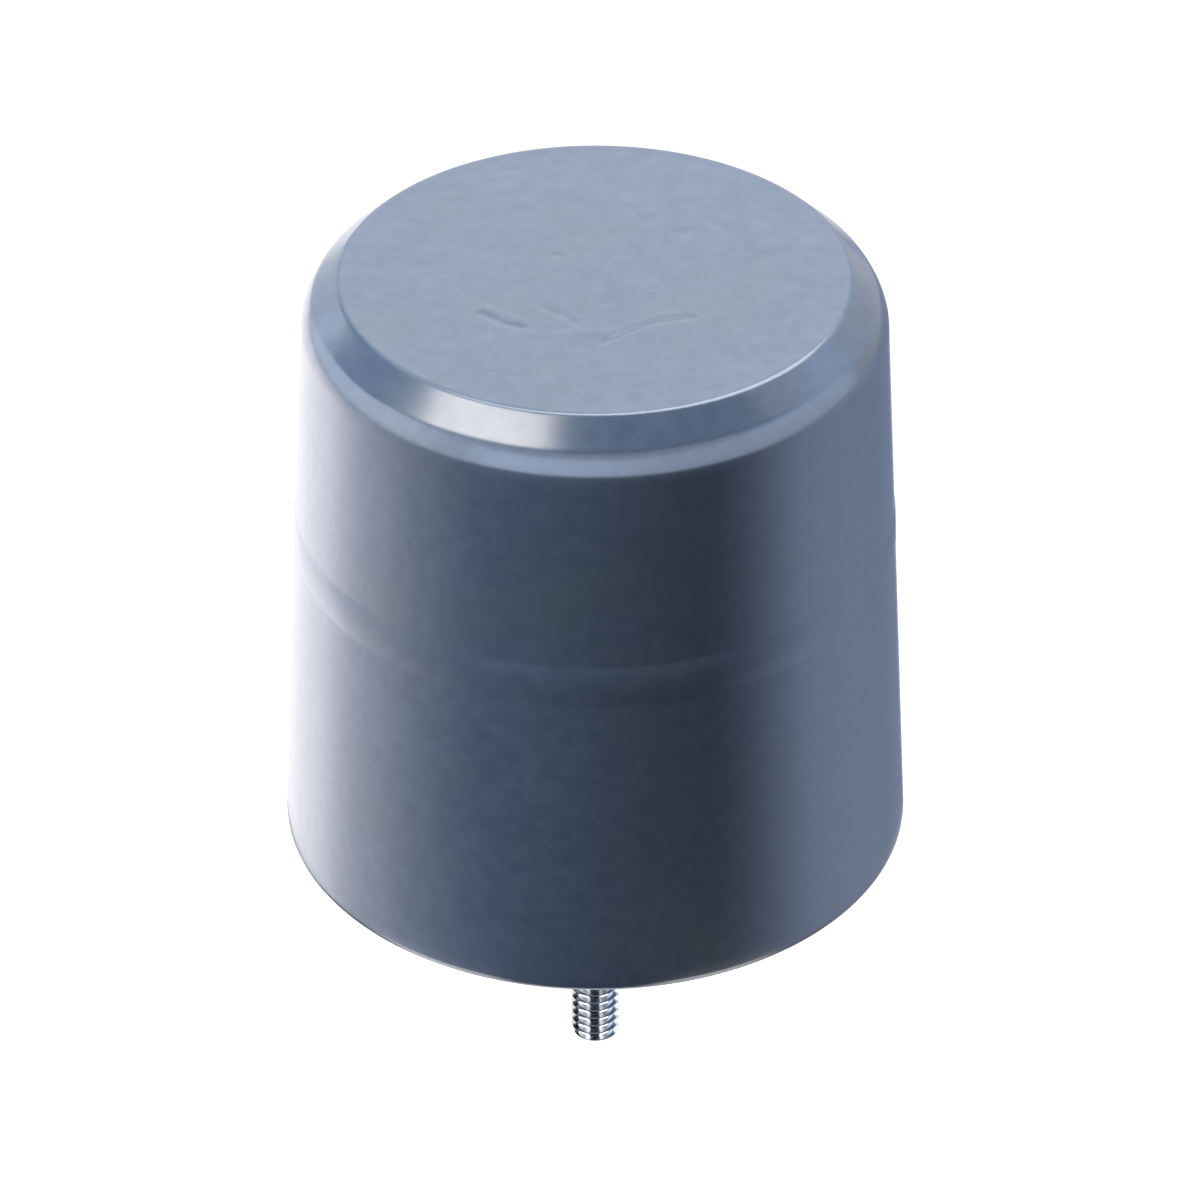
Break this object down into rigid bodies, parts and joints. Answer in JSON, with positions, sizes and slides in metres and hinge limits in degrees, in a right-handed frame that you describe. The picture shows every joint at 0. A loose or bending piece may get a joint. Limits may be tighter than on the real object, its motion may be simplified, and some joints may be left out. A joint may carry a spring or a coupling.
{
  "type": "polyurethane bumper",
  "caption": "Tapered round polyurethane end stop bumper with a flat striking face, chamfered shoulder and a central threaded steel stud cast into its base.",
  "frame": {"origin": "centre of the seat face, where the stud leaves the block", "axes": "+Z along the stud's axis from the seat face towards the striking face; the stud stands out along -Z"},
  "size_m": [0.0798, 0.0798, 0.1181],
  "materials": {
    "polyurethane": "satin, moulded",
    "plain_steel": "sheared and drilled plate",
    "zinc_plated_steel": "bright zinc plated"
  },
  "bodies": {
    "root": {"polyurethane_body": "polyurethane", "anchor_plate": "plain_steel", "threaded_stud": "zinc_plated_steel"}
  },
  "joints": []
}
